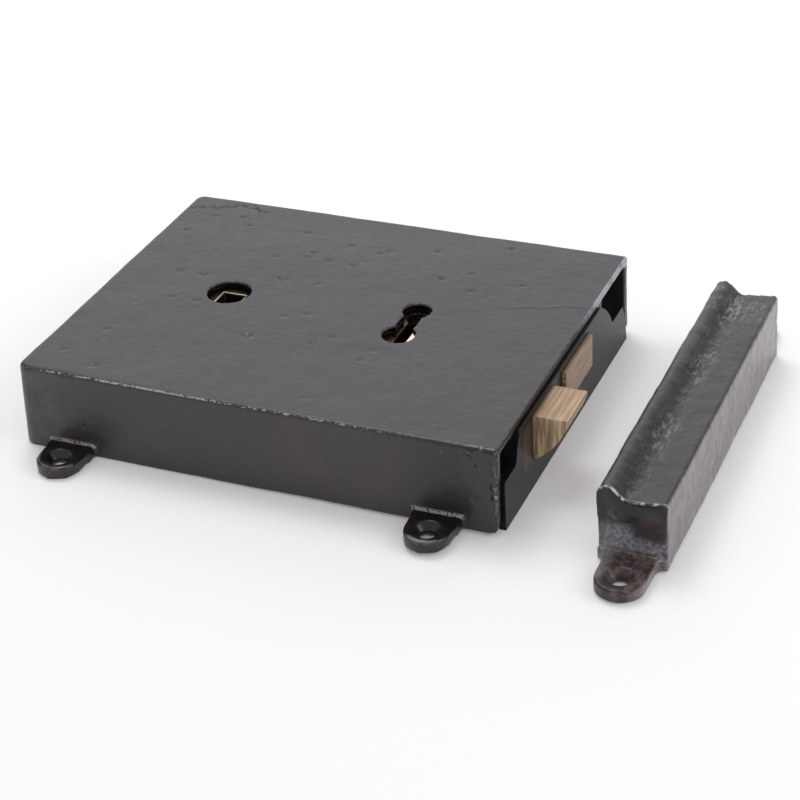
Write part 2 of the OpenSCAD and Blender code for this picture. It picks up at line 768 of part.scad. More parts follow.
module lever_post() color([0.6, 0.6, 0.62]) {
    shoulder_r = 4;
    translate([pivot_x, pivot_y, sheet_t]) {
        cylinder(r = shoulder_r, h = lever_z - sheet_t);
        cylinder(r = pivot_r, h = lever_z + 2 * lever_t + 2 * lever_gap - sheet_t);
    }
}

// Keep: an open-fronted box with a bead along its mouth and a screw foot at each end.
module keep_section() {
    cove = [for (i = [0:10]) let (u = i / 10)
        [keep_bead_x + u * (keep_cove_x - keep_bead_x),
            keep_dish_h + (keep_bead_h - keep_dish_h) * (1 + cos(180 * u)) / 2]];
    bead = [for (a = [180:-15:105])
        [keep_bead_x * (1 + cos(a)), keep_bead_h - keep_bead_r + keep_bead_r * sin(a)]];
    edge = [for (a = [75:-25:0])
        [keep_w - keep_draft - keep_edge_r + keep_edge_r * cos(a),
            keep_h - keep_edge_r + keep_edge_r * sin(a)]];
    polygon(concat([[keep_lean, 0]], bead, cove, edge, [[keep_w, 0]]));
}

module keep_cavity() {
    roof = keep_dish_h - keep_wall;
    back = keep_w - keep_draft - keep_wall;
    slope = keep_mouth_h - roof;
    polygon([[-1, -1], [back, -1], [back, roof], [keep_bead_x + 0.8 + slope, roof],
        [keep_bead_x + 0.8, keep_mouth_h], [-1, keep_mouth_h]]);
}

// Plan of a keep foot: a round tongue that flares where it leaves the end wall at y = 0.
module keep_foot() {
    neck = keep_foot_r + 0.3;
    flare = keep_w / 2 - neck - 0.2;
    translate([0, keep_foot_reach]) circle(r = keep_foot_r);
    polygon([[-neck, -1], [neck, -1], [keep_foot_r, keep_foot_reach],
        [-keep_foot_r, keep_foot_reach]]);
    difference() {
        translate([-neck - flare, -1]) square([2 * (neck + flare), flare + 1]);
        for (s = [-1, 1]) translate([s * (neck + flare), flare]) circle(r = flare);
    }
}

// Cove along the foot of an end wall, which stands at y = 0.
module keep_cove(w) {
    cove_r = 4;
    rotate([90, 0, 90]) linear_extrude(w) difference() {
        translate([-1, 0]) square([cove_r + 1, lug_t + cove_r]);
        translate([cove_r, lug_t + cove_r]) circle(r = cove_r);
    }
}

module keep_casting() color([0.34, 0.32, 0.32]) {
    half = keep_l / 2;
    foot_x = keep_w / 2;
    cove_w = 2 * keep_foot_r;
    translate([keep_x, 0, keep_z]) difference() {
        union() {
            translate([0, half, 0]) rotate([90, 0, 0]) linear_extrude(keep_l) keep_section();
            for (s = [-1, 1]) translate([foot_x, s * half, 0]) mirror([0, s < 0 ? 1 : 0, 0]) {
                linear_extrude(lug_t) keep_foot();
                translate([-cove_w / 2, 0, 0]) keep_cove(cove_w);
            }
        }
        translate([0, half - keep_wall, 0]) rotate([90, 0, 0])
            linear_extrude(keep_l - 2 * keep_wall) keep_cavity();
        for (s = [-1, 1]) translate([foot_x, s * (half + keep_foot_reach), 0]) countersunk_hole(lug_t);
    }
}

cover_casting();
forend_plate();
case_tray();
case_cap();
cap_pillars();
cap_screws();
case_screws();
forend_rivets();
follower();
latch_head();
latch_tail();
latch_rivets();
latch_drive_pins();
latch_spring();
latch_spring_rod();
latch_spring_stop();
dead_bolt_head();
dead_bolt_tail();
dead_bolt_rivets();
bolt_stump();
bolt_guide_pin();
lever_lower();
lever_upper();
lever_spacer();
lever_post();
lever_spring_lower();
lever_spring_upper();
keep_casting();
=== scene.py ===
import json
import math

import bmesh
import bpy
import numpy as np
from mathutils import Matrix, Vector, noise


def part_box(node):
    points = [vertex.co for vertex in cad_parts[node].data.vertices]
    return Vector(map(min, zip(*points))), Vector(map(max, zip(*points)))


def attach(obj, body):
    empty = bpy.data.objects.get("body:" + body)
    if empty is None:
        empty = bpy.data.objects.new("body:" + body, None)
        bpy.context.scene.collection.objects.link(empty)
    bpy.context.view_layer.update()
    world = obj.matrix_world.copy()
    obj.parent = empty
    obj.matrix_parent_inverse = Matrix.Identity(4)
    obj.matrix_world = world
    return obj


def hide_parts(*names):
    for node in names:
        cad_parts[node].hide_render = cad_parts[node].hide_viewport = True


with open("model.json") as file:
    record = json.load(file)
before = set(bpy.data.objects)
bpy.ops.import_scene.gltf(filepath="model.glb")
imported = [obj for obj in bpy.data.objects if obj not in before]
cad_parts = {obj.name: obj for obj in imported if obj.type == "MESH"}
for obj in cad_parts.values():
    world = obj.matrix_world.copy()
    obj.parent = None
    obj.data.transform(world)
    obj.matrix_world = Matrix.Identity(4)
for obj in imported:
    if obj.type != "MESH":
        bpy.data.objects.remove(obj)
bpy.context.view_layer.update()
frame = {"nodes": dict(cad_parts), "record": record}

MM = 0.001

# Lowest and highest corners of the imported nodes
_, COVER_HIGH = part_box("cover_casting")
KEEP_LOW, KEEP_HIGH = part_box("keep_casting")
FOREND_LOW, FOREND_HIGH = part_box("forend_plate")
FOLLOWER_LOW, FOLLOWER_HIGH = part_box("follower")
LATCH_LOW, LATCH_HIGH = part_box("latch_head")

# Cover: a box with drafted walls, open at its mouth, front side towards -Y
COVER_LENGTH = 185.4 * MM
COVER_HALF_W = 73.5 * MM
COVER_DRAFT = 1.2 * MM
COVER_WALL = 4 * MM
COVER_ROOF = 3 * MM
COVER_TOP_Z = COVER_HIGH[2]
FOREND_PROUD = 1.2 * MM
COVER_FRONT_X = FOREND_HIGH[0] - FOREND_PROUD
COVER_REAR_X = COVER_FRONT_X - COVER_LENGTH
LUG_X = 71.7 * MM
LUG_HALF_W = 9.4 * MM

# Holes in the cover's top: the knob hole over the follower, and a dumb-bell keyhole
SPINDLE_X = (FOLLOWER_LOW[0] + FOLLOWER_HIGH[0]) / 2
SPINDLE_HALF = 4.75 * MM
KNOB_HOLE_R = 8.75 * MM
KEY_X = FOREND_HIGH[0] - 62.5 * MM
KEY_LOBES = [(8 * MM, 5.75 * MM), (-10.2 * MM, 6.5 * MM)]
KEY_NECK_HALF = 3.5 * MM
COVER_HOLES = [(SPINDLE_X, 0, KNOB_HOLE_R)] + [(KEY_X, y, radius) for y, radius in KEY_LOBES]

# Keep: a bar with a bead along its mouth and a screw foot at each end
KEEP_HALF_L = 74.8 * MM
KEEP_MOUTH_X = KEEP_LOW[0]

# Where the lugs and the feet begin, just outside the walls
LUG_FROM_Y = 74.9 * MM

# Camera of the photograph
CAMERA_AZIMUTH = 24.0
CAMERA_ELEVATION = 31.38
CAMERA_ROLL = -3.13
CAMERA_DISTANCE = 0.7938
CAMERA_TARGET = Vector((0.02816, -0.00341, 0))
CAMERA_LENS = 94.9

# Light; only the camera and the reflections see the floor's glow
FLOOR_GLOW = 0.165
WORLD_LIGHT = 0.5
LAMP_DEPTH = 0.9
LAMP_COLOUR = (0.97, 0.965, 1)
# Name, place, width and power of each lamp
LAMPS = [
    ("back_lamp", (-0.3, 1.4, 0.66), 2.4, 7.0),
    ("key_lamp", (-0.55, 0.55, 1.75), 0.9, 11.0),
    ("side_lamp", (1.4, 0.1, 0.9), 1.0, 5.0),
]

# Half the width of the square floor
FLOOR_HALF = 6.0

WELD = 0.002 * MM
FLAT_ANGLE = math.radians(0.6)
SHARP_ANGLE = math.radians(35)

# Dents in the top of the cover: x, y, radius and depth in mm. The squeeze makes them longer along X,
# and a radius is so many widths of their bell-shaped section as the sharpness says
DENT_SQUEEZE = 0.75
DENT_SHARPNESS = 1.7
COVER_DENTS = [
    (-21, -28, 2.4, 0.75),
    (-68, 10, 1.9, 0.55),
    (-58, 10, 1.8, 0.55),
    (-27, 16, 2.2, 0.65),
    (-24, 39, 1.8, 0.55),
    (-25, 35, 1.4, 0.50),
    (-15, 35, 1.9, 0.60),
    (-5, 34, 1.7, 0.55),
    (-12, 16, 1.5, 0.35),
    (-12, 49, 1.7, 0.40),
    (-34, 54, 1.8, 0.40),
    (-65, -65, 2.2, 0.55),
    (-51, -10, 1.8, 0.45),
    (-61, -10, 1.5, 0.35),
    (-65, 59, 1.6, 0.40),
    (-59, 53, 1.7, 0.40),
    (-82, 42, 1.8, 0.40),
    (-81, -58, 1.6, 0.35),
    (5, -26, 1.6, 0.60),
    (10, -20, 1.7, 0.35),
    (28, -24, 2.0, 0.35),
    (26, -32, 1.6, 0.35),
    (-73, -40, 1.6, 0.35),
    (-37, 32, 1.5, 0.35),
    (-14, -11, 1.6, 0.35),
    (-6, -7, 1.6, 0.35),
    (-76, 57, 1.4, 0.35),
    (1, 46, 1.6, 0.50),
    (4, 49, 1.5, 0.45),
    (22, 54, 1.8, 0.35),
    (32, 34, 1.8, 0.50),
    (41, 41, 1.6, 0.50),
    (46, 28, 1.9, 0.35),
    (49, 65, 1.3, 0.55),
    (63, 38, 1.4, 0.40),
    (18, -62, 1.7, 0.30),
]

# Places along a shrinkage crack near the cover's far rear corner, in mm
COVER_CRACK = [
    (-89, 61),
    (-86, 62.8),
    (-84, 62.4),
    (-81.5, 64.4),
    (-79, 62.9),
    (-76, 66.2),
    (-73.5, 66),
    (-71, 69),
    (-67, 68),
    (-64.5, 69.2),
    (-61, 66.4),
    (-57, 66),
]
# Places along a faint raised line near the open end, in mm
COVER_RAISED_LINE = [(64, 20.5), (70, 23.5), (76, 24), (82, 27.5), (89, 29)]
# Ridges of flash that run down the near front corner: places x, z in mm along each
COVER_FLASH = [
    [(82.5, 31.8), (84.5, 29.8), (86.0, 27.4), (87.4, 24.2)],
    [(87.5, 32.4), (90.4, 31.0), (91.8, 27.5), (92.2, 22.5), (92.5, 14)],
]


def linear(r, g, b):
    """Linear colour of an sRGB colour written from 0 to 255."""
    return tuple(
        (c / 255 / 12.92 if c / 255 <= 0.04045 else ((c / 255 + 0.055) / 1.055) ** 2.4)
        for c in (r, g, b)
    ) + (1.0,)


class Shader:
    """A material under construction, with short calls for the nodes that the finishes share."""

    def __init__(self, name):
        self.material = bpy.data.materials.new(name)
        self.material.use_nodes = True
        self.tree = self.material.node_tree
        self.bsdf = self.tree.nodes["Principled BSDF"]
        self.object = self.node("ShaderNodeTexCoord").outputs["Object"]
        self.x, self.y, self.z = self.parts(self.object)
        geometry = self.node("ShaderNodeNewGeometry")
        self.normal_x, self.normal_y, self.normal_z = self.parts(geometry.outputs["Normal"])
        self.pointiness = geometry.outputs["Pointiness"]

    def node(self, kind, **settings):
        """A new node with its settings."""
        made = self.tree.nodes.new(kind)
        for key, value in settings.items():
            setattr(made, key, value)
        return made

    def link(self, source, target):
        self.tree.links.new(source, target)

    def put(self, target, value):
        """Sets a socket to a number or colour, or links it to another socket."""
        if isinstance(value, bpy.types.NodeSocket):
            self.link(value, target)
        else:
            target.default_value = value

    def parts(self, vector):
        """X, Y and Z of a vector."""
        made = self.node("ShaderNodeSeparateXYZ")
        self.link(vector, made.inputs[0])
        return made.outputs[0], made.outputs[1], made.outputs[2]

    def math(self, operation, a, b=0.0):
        made = self.node("ShaderNodeMath", operation=operation)
        self.put(made.inputs[0], a)
        self.put(made.inputs[1], b)
        return made.outputs[0]

    def both(self, *shares):
        """Product of several shares."""
        product = shares[0]
        for share in shares[1:]:
            product = self.math("MULTIPLY", product, share)
        return product

    def either(self, first, second):
        """Larger of two shares."""
        return self.math("MAXIMUM", first, second)

    def ramp(self, value, low, high):
        """Value rescaled so that low gives 0 and high gives 1, smoothly; low may be the larger."""
        if low > high:
            return self.math("SUBTRACT", 1.0, self.ramp(value, high, low))
        made = self.node("ShaderNodeMapRange", interpolation_type="SMOOTHSTEP", clamp=True)
        self.put(made.inputs["Value"], value)
        made.inputs["From Min"].default_value = low
        made.inputs["From Max"].default_value = high
        return made.outputs["Result"]

    def near(self, value, centre, half, soft):
        """1 where value lies within half of the centre, falling to 0 over the soft distance."""
        away = self.math("ABSOLUTE", self.math("SUBTRACT", value, centre))
        return self.ramp(away, half + soft, half)

    def spot(self, u, v, centre, radius, soft):
        """Round patch in the plane of two coordinates."""
        across = self.math("SUBTRACT", u, centre[0])
        along = self.math("SUBTRACT", v, centre[1])
        squares = self.math("ADD", self.both(across, across), self.both(along, along))
        return self.ramp(self.math("SQRT", squares), radius + soft, radius)

    def stretched(self, scale, turn=(0, 0, 0)):
        """Object coordinates turned and scaled; a pattern is drawn out along the axes of small scale."""
        made = self.node("ShaderNodeMapping")
        self.link(self.object, made.inputs["Vector"])
        made.inputs["Scale"].default_value = scale
        made.inputs["Rotation"].default_value = turn
        return made.outputs["Vector"]

    def noise(self, per_metre, detail=3.0, vector=None, roughness=0.55, distortion=0.0):
        """Soft noise, mostly from 0.3 to 0.7, with about per_metre bumps to a metre."""
        made = self.node("ShaderNodeTexNoise")
        self.link(vector or self.object, made.inputs["Vector"])
        made.inputs["Scale"].default_value = per_metre
        made.inputs["Detail"].default_value = detail
        made.inputs["Roughness"].default_value = roughness
        made.inputs["Distortion"].default_value = distortion
        return made.outputs["Fac"]

    def cells(self, per_metre, vector=None):
        """Distance to the nearest of scattered points, of which about per_metre lie along a metre."""
        made = self.node("ShaderNodeTexVoronoi", feature="F1")
        self.link(vector or self.object, made.inputs["Vector"])
        made.inputs["Scale"].default_value = per_metre
        return made.outputs["Distance"]

    def mix(self, share, first, second):
        """Colour between first and second."""
        made = self.node("ShaderNodeMix", data_type="RGBA", clamp_factor=True)
        self.put(made.inputs["Factor"], share)
        self.put(made.inputs["A"], first)
        self.put(made.inputs["B"], second)
        return made.outputs["Result"]

    def blend(self, share, first, second):
        """Number between first and second."""
        made = self.node("ShaderNodeMix", data_type="FLOAT", clamp_factor=True)
        self.put(made.inputs["Factor"], share)
        self.put(made.inputs["A"], first)
        self.put(made.inputs["B"], second)
        return made.outputs["Result"]

    def bump(self, height, distance, strength=1.0, before=None):
        """Normal that shows a height from 0 to 1 as a relief of that distance, over an earlier one."""
        made = self.node("ShaderNodeBump")
        made.inputs["Strength"].default_value = strength
        made.inputs["Distance"].default_value = distance
        self.link(height, made.inputs["Height"])
        if before is not None:
            self.link(before, made.inputs["Normal"])
        return made.outputs["Normal"]

    def finish(self, colour, roughness, normal, metallic=0.0, specular=0.5):
        """Puts the finish together and gives its material."""
        self.put(self.bsdf.inputs["Base Color"], colour)
        self.put(self.bsdf.inputs["Roughness"], roughness)
        self.link(normal, self.bsdf.inputs["Normal"])
        self.bsdf.inputs["Metallic"].default_value = metallic
        self.bsdf.inputs["Specular IOR Level"].default_value = specular
        return self.material


def cover_hole_walls(s):
    """Share of the surface that is the wall of the knob hole or of the keyhole."""
    reach, soft = 0.1 * MM, 0.3 * MM
    walls = s.spot(s.x, s.y, (SPINDLE_X, 0), KNOB_HOLE_R + reach, soft)
    for lobe_y, radius in KEY_LOBES:
        walls = s.either(walls, s.spot(s.x, s.y, (KEY_X, lobe_y), radius + reach, soft))
    upper_y, lower_y = KEY_LOBES[0][0], KEY_LOBES[1][0]
    neck = s.both(
        s.near(s.x, KEY_X, KEY_NECK_HALF + reach, soft),
        s.near(s.y, (upper_y + lower_y) / 2, (upper_y - lower_y) / 2, soft),
    )
    return s.either(walls, neck)


def cover_front_tones(s, base):
    """Front of the cover: painted paler than the top as a painted reflection of the floor in front,
    brown in its middle, scuffed at the rear, black ahead.
    """
    floor_reflection_grey, brown = linear(58, 55, 60), linear(70, 53, 53)
    scuffed, black = linear(98, 92, 100), linear(26, 25, 27)
    front = s.ramp(s.normal_y, -0.4, -0.8)
    # Painted reflection: front faces painted paler, standing in for the floor that they mirror
    base = s.mix(s.both(front, 0.6), base, floor_reflection_grey)
    middle = s.both(front, s.near(s.x, 38 * MM, 12 * MM, 22 * MM), s.ramp(s.noise(45, 3), 0.35, 0.6))
    base = s.mix(s.both(middle, 0.6), base, brown)
    rear = s.both(front, s.ramp(s.x, -66 * MM, -88 * MM), s.ramp(s.noise(120, 3), 0.35, 0.6))
    base = s.mix(s.both(rear, 0.35), base, scuffed)
    return s.mix(s.both(front, s.ramp(s.x, 44 * MM, 80 * MM), 0.75), base, black)


def cover_near_edge(s, base):
    """Bright speckled line along the near top edge, strongest at the rear: partly wear, partly a painted
    highlight on the edge's round.
    """
    crest = (-COVER_HALF_W + 0.45 * MM, COVER_TOP_Z - 0.5 * MM)
    along_edge = s.spot(s.y, s.z, crest, 0.22 * MM, 0.3 * MM)
    threshold = s.blend(s.near(s.x, -40 * MM, 14 * MM, 24 * MM), 0.56, 0.44)
    speckled = s.math("GREATER_THAN", s.noise(1700, 3, s.stretched((0.5, 1, 1))), threshold)
    edge_wear_and_highlight = s.both(along_edge, speckled, s.ramp(s.x, 72 * MM, 30 * MM))
    # Wear and a painted highlight along the near top edge
    return s.mix(s.both(edge_wear_and_highlight, 0.85), base, linear(190, 186, 182))


def cover_mouth(s, base):
    """Worn end at the mouth, with a painted highlight along the roof's end: bright towards the far
    corner of the roof, brown elsewhere.
    """
    roof_foot = 29 * MM
    bare_and_highlight, dull, brown = linear(176, 170, 180), linear(44, 35, 33), linear(40, 31, 30)
    end = s.ramp(s.x, COVER_FRONT_X - 0.9 * MM, COVER_FRONT_X - 0.3 * MM)
    in_roof = s.ramp(s.z, roof_foot, roof_foot + 0.6 * MM)
    roof_end = s.both(end, in_roof, s.ramp(s.noise(160, 4), 0.22, 0.5))
    # Worn bare metal and a painted highlight along the end of the roof
    base = s.mix(roof_end, base, s.mix(s.ramp(s.y, 8 * MM, 40 * MM), dull, bare_and_highlight))
    return s.mix(s.both(end, s.ramp(s.z, roof_foot, roof_foot - 1 * MM), 0.8), base, brown)


def cover_lugs(s, base, lug, out_y):
    """Black lugs, partly their own black and partly painted shade from the wall behind them, with a
    painted highlight on the nose and a bright broken line where they meet the wall.
    """
    black, brown = linear(20, 18, 19), linear(36, 25, 24)
    # Lug tone: partly the lugs' own black, partly painted shade from the wall behind them
    base = s.mix(lug, base, s.mix(s.ramp(s.noise(150, 3), 0.45, 0.62), black, brown))
    patchy = s.ramp(s.noise(260, 4), 0.40, 0.50)
    # Painted highlight on the nose of each lug
    nose = s.both(s.ramp(out_y, 87 * MM, 90 * MM), s.near(s.normal_z, 0.6, 0.15, 0.2), patchy)
    base = s.mix(s.both(nose, 0.6), base, linear(108, 106, 116))
    root = s.both(
        s.near(out_y, COVER_HALF_W + 1.6 * MM, 0.35 * MM, 0.3 * MM),
        s.near(s.z, 4.9 * MM, 0.7 * MM, 0.5 * MM),
        s.near(s.math("ABSOLUTE", s.x), LUG_X, LUG_HALF_W, 0.6 * MM),
        s.math("GREATER_THAN", s.noise(1300, 3), 0.47),
    )
    return s.mix(s.both(root, 0.85), base, linear(170, 166, 170))


def cover_inside(s, out_y):
    """Share of the surface that is the inside of the box."""
    inner_y = COVER_HALF_W - COVER_WALL
    inner_x = COVER_REAR_X + COVER_WALL
    inner_z = COVER_TOP_Z - COVER_ROOF
    return s.both(
        s.ramp(out_y, inner_y + 1.4 * MM, inner_y + 0.6 * MM),
        s.ramp(s.z, inner_z + 0.5 * MM, inner_z),
        s.ramp(s.x, inner_x - 1.6 * MM, inner_x - 0.8 * MM),
        s.ramp(s.x, COVER_FRONT_X - 0.3 * MM, COVER_FRONT_X - 1 * MM),
    )


def cast_iron_cover():
    """Black wax over fine sand-cast iron: satin on top, worn bright along its edges, painted near black
    inside and in its two holes as painted shade, and glossier on the lugs, in the holes and at the near
    front corner."""
    s = Shader("waxed_cast_iron")
    fine = s.noise(420, 4)
    base = s.mix(s.ramp(s.noise(14, 3), 0.35, 0.65), linear(28, 27, 33), linear(36, 34, 41))
    speckle = s.ramp(s.noise(240, 4), 0.40, 0.66)
    base = s.mix(s.both(speckle, 0.35), base, linear(28, 27, 30))
    base = cover_front_tones(s, base)
    base = cover_near_edge(s, base)
    base = cover_mouth(s, base)

    # Wear on all raised edges, most on the near front corner's ridges
    edge = s.ramp(s.pointiness, 0.52, 0.57)
    patchy = s.both(edge, s.ramp(s.noise(620, 3), 0.48, 0.60))
    corner = s.both(s.ramp(s.x, 80 * MM, 84 * MM), s.ramp(s.y, -71 * MM, -72.5 * MM))
    base = s.mix(s.both(patchy, s.blend(corner, 0.35, 0.8)), base, linear(176, 174, 182))

    out_y = s.math("ABSOLUTE", s.y)
    lug = s.ramp(out_y, LUG_FROM_Y, LUG_FROM_Y + 0.5 * MM)
    base = cover_lugs(s, base, lug, out_y)

    inside = cover_inside(s, out_y)
    hole = s.both(cover_hole_walls(s), s.ramp(s.z, COVER_TOP_Z - 0.5 * MM, COVER_TOP_Z - 0.9 * MM))
    # Painted shade: the inside of the box and the walls of its two holes painted near black
    black = s.either(inside, hole)
    base = s.mix(black, base, linear(11, 11, 13))
    dusty = s.ramp(s.noise(60, 2), 0.50, 0.68)
    dust = s.both(s.ramp(s.noise(1300, 1), 0.70, 0.78), dusty, s.ramp(black, 1, 0))
    base = s.mix(s.both(dust, 0.5), base, linear(150, 146, 146))

    rough = s.math("ADD", 0.30, s.both(fine, 0.18))
    glossy = s.either(s.both(lug, 0.7), s.either(hole, s.both(corner, 0.7)))
    rough = s.blend(inside, s.blend(glossy, rough, 0.2), 0.7)
    sand = s.bump(fine, 0.12 * MM, 0.7)
    drawn = s.bump(s.noise(620, 3, s.stretched((0.14, 1, 1))), 0.10 * MM, 0.7, sand)
    pits = s.bump(s.ramp(s.cells(230), 0.0, 0.30), 0.14 * MM, 0.4, drawn)
    return s.finish(base, rough, pits, specular=0.6)


def keep_scuffs(s, base):
    """Whitish scuffs across the cove, in patches along it, and fainter ones over the far end."""
    streaks = s.ramp(s.noise(800, 6, s.stretched((1, 0.3, 1)), roughness=0.7), 0.46, 0.66)
    patches = s.near(s.y, -33 * MM, 9 * MM, 9 * MM)
    for place, half in ((17, 7), (60, 8)):
        patches = s.either(patches, s.near(s.y, place * MM, half * MM, 8 * MM))
    cove = s.near(s.x, KEEP_MOUTH_X + 10.4 * MM, 1.8 * MM, 3.6 * MM)
    upward = s.ramp(s.normal_z, 0.5, 0.7)
    scuff = s.both(streaks, cove, upward, s.math("ADD", 0.35, s.both(patches, 0.65)))
    base = s.mix(s.both(scuff, 0.5), base, linear(160, 156, 158))
    far = s.both(s.near(s.y, 62 * MM, 5 * MM, 8 * MM), s.ramp(s.normal_z, 0.7, 0.9), streaks)
    return s.mix(s.both(far, 0.25), base, linear(176, 172, 174))


def keep_end_tones(s, base):
    """Near end face: dark above with painted shadow under its ridge, blue-grey below with a paler pool,
    red-brown at the outer side.
    """
    blue_grey, pale = linear(146, 142, 152), linear(158, 155, 168)
    dark, red_brown = linear(12, 11, 14), linear(58, 42, 42)
    end = s.both(s.ramp(s.normal_y, -0.45, -0.8), s.ramp(s.y, -73 * MM, -73.8 * MM))
    grain = s.ramp(s.noise(700, 6, roughness=0.75), 0.40, 0.60)
    lower = s.both(end, s.ramp(s.z, 13 * MM, 8 * MM), s.math("ADD", 0.3, s.both(grain, 0.7)))
    base = s.mix(s.both(lower, 0.9), base, blue_grey)
    pool = s.spot(s.x, s.z, (KEEP_MOUTH_X + 8 * MM, 12.5 * MM), 3.5 * MM, 5 * MM)
    broken = s.math("ADD", 0.35, s.both(grain, 0.65))
    pool = s.both(end, pool, s.ramp(s.noise(110, 3), 0.35, 0.6), broken)
    base = s.mix(s.both(pool, 0.75), base, pale)
    # Painted shadow under the ragged ridge at the top of the near end
    inner = s.ramp(s.x, KEEP_MOUTH_X + 18 * MM, KEEP_MOUTH_X + 14 * MM)
    ridge_shadow = s.both(end, inner, s.ramp(s.z, 12 * MM, 16 * MM))
    base = s.mix(s.both(ridge_shadow, s.ramp(s.noise(200, 4), 0.2, 0.5)), base, dark)
    rust = s.both(end, s.spot(s.x, s.z, (KEEP_MOUTH_X + 19.5 * MM, 15 * MM), 3.6 * MM, 3 * MM))
    return s.mix(s.both(rust, 0.9), base, red_brown)


def keep_edges(s, base):
    """Painted highlight as a broken bright line along the top of the near end, and wear on all raised
    edges.
    """
    # Painted highlight along the ridge at the top of the near end
    ridge = s.near(s.y, -KEEP_HALF_L + 0.7 * MM, 0.45 * MM, 0.35 * MM)
    ridge = s.both(ridge, s.ramp(s.normal_z, 0.2, 0.5), s.ramp(s.z, 15 * MM, 18 * MM))
    base = s.mix(s.both(ridge, s.ramp(s.noise(340, 5), 0.47, 0.58)), base, linear(204, 198, 196))
    edge = s.both(s.ramp(s.pointiness, 0.53, 0.60), s.ramp(s.noise(700, 2), 0.48, 0.62))
    return s.mix(s.both(edge, 0.6), base, linear(170, 164, 162))


def keep_feet(s, base):
    """Brown feet with a blue-grey inner side, a dark nose and a bright broken line at the root."""
    out_y = s.math("ABSOLUTE", s.y)
    foot = s.both(s.ramp(out_y, LUG_FROM_Y, LUG_FROM_Y + 0.7 * MM), s.ramp(s.z, 6.5 * MM, 4.5 * MM))
    mottle = s.ramp(s.noise(420, 5, roughness=0.65), 0.42, 0.60)
    tone = s.mix(mottle, linear(54, 42, 40), linear(100, 84, 82))
    inner_side = s.both(s.ramp(s.x, KEEP_MOUTH_X + 9 * MM, KEEP_MOUTH_X + 4 * MM), 0.6)
    tone = s.mix(inner_side, tone, linear(126, 122, 134))
    nose = s.spot(s.x, out_y, (KEEP_MOUTH_X + 8 * MM, 94.5 * MM), 3 * MM, 3 * MM)
    tone = s.mix(s.both(nose, 0.8), tone, linear(30, 29, 34))
    base = s.mix(foot, base, tone)
    root = s.both(
        s.near(out_y, KEEP_HALF_L + 0.8 * MM, 0.3 * MM, 0.4 * MM),
        s.near(s.z, KEEP_LOW[2] + 5 * MM, 0.6 * MM, 0.5 * MM),
        s.ramp(s.noise(700, 4), 0.40, 0.55),
    )
    return s.mix(s.both(root, 0.8), base, linear(176, 170, 172))


def keep_outer_side(s, base, side):
    """Brushed outer side with scattered pits, painted paler as a painted reflection of the bright
    surroundings on its right.
    """
    brushed = s.ramp(s.noise(330, 6, s.stretched((1, 1, 0.4)), roughness=0.7), 0.36, 0.64)
    # Painted reflection: the outer side painted paler for the bright surroundings that it mirrors
    base = s.mix(s.both(side, 0.85), base, s.mix(brushed, linear(104, 97, 99), linear(138, 131, 133)))
    holes = s.ramp(s.cells(360, s.stretched((1, 1, 1.4))), 0.22, 0.10)
    pitted = s.both(side, holes, s.ramp(s.noise(70, 2), 0.42, 0.58))
    return s.mix(s.both(pitted, 0.9), base, linear(20, 19, 20))


def cast_iron_keep():
    """Dark wax, a little coated, over iron that is rougher than the cover's; its outer side is
    smoother, and painted paler as a painted reflection."""
    s = Shader("worn_cast_iron")
    fine = s.noise(520, 5)
    base = s.mix(s.ramp(s.noise(30, 3), 0.35, 0.65), linear(16, 14, 13), linear(24, 22, 22))
    olive = s.both(s.near(s.x, KEEP_MOUTH_X + 6 * MM, 2 * MM, 3 * MM), s.ramp(s.noise(80, 3), 0.4, 0.6))
    base = s.mix(s.both(olive, 0.5), base, linear(48, 43, 36))
    base = keep_scuffs(s, base)
    base = keep_end_tones(s, base)
    base = keep_edges(s, base)
    base = keep_feet(s, base)
    outermost = s.ramp(s.x, KEEP_HIGH[0] - 8 * MM, KEEP_HIGH[0] - 5 * MM)
    side = s.both(s.ramp(s.normal_x, 0.5, 0.85), outermost)
    base = keep_outer_side(s, base, side)

    rough = s.math("ADD", 0.30, s.both(fine, 0.22))
    rough = s.blend(side, rough, 0.25)
    sand = s.bump(s.noise(300, 5, roughness=0.6), 0.40 * MM, 0.7)
    drawn = s.bump(s.noise(700, 3, s.stretched((0.25, 1, 1))), 0.08 * MM, 0.6, sand)
    pits = s.bump(s.ramp(s.cells(330), 0.0, 0.35), 0.18 * MM, 0.5, drawn)
    s.bsdf.inputs["Coat Weight"].default_value = 0.2
    s.bsdf.inputs["Coat Roughness"].default_value = 0.3
    return s.finish(base, rough, pits, specular=0.42)


def forend_black():
    """Smooth blacked steel with a soft sheen and faint lines along the plate, with a painted brown
    reflection of the brass latch beside it."""
    s = Shader("blacked_steel")
    lines = s.noise(3000, 2, s.stretched((1, 0.02, 1)))
    base = s.mix(s.ramp(s.noise(25, 2), 0.4, 0.6), linear(20, 19, 20), linear(25, 24, 26))
    # Painted reflection of the brass latch in the plate, beside the latch
    latch_reflection = s.both(
        s.near(s.y, LATCH_LOW[1] - 4 * MM, 3.4 * MM, 1.6 * MM),
        s.near(s.z, (LATCH_LOW[2] + LATCH_HIGH[2]) / 2, 7 * MM, 3 * MM),
    )
    base = s.mix(s.both(latch_reflection, 0.8), base, linear(78, 62, 52))
    rough = s.math("ADD", 0.30, s.both(lines, 0.08))
    return s.finish(base, rough, s.bump(lines, 0.01 * MM, 0.2), specular=0.18)


def case_black():
    """Black enamel on pressed steel, a little uneven."""
    s = Shader("enamelled_steel")
    cloud = s.noise(40, 3)
    base = s.mix(s.ramp(cloud, 0.35, 0.65), linear(24, 23, 24), linear(34, 32, 33))
    rough = s.math("ADD", 0.34, s.both(cloud, 0.14))
    return s.finish(base, rough, s.bump(s.noise(900, 2), 0.03 * MM, 0.3))


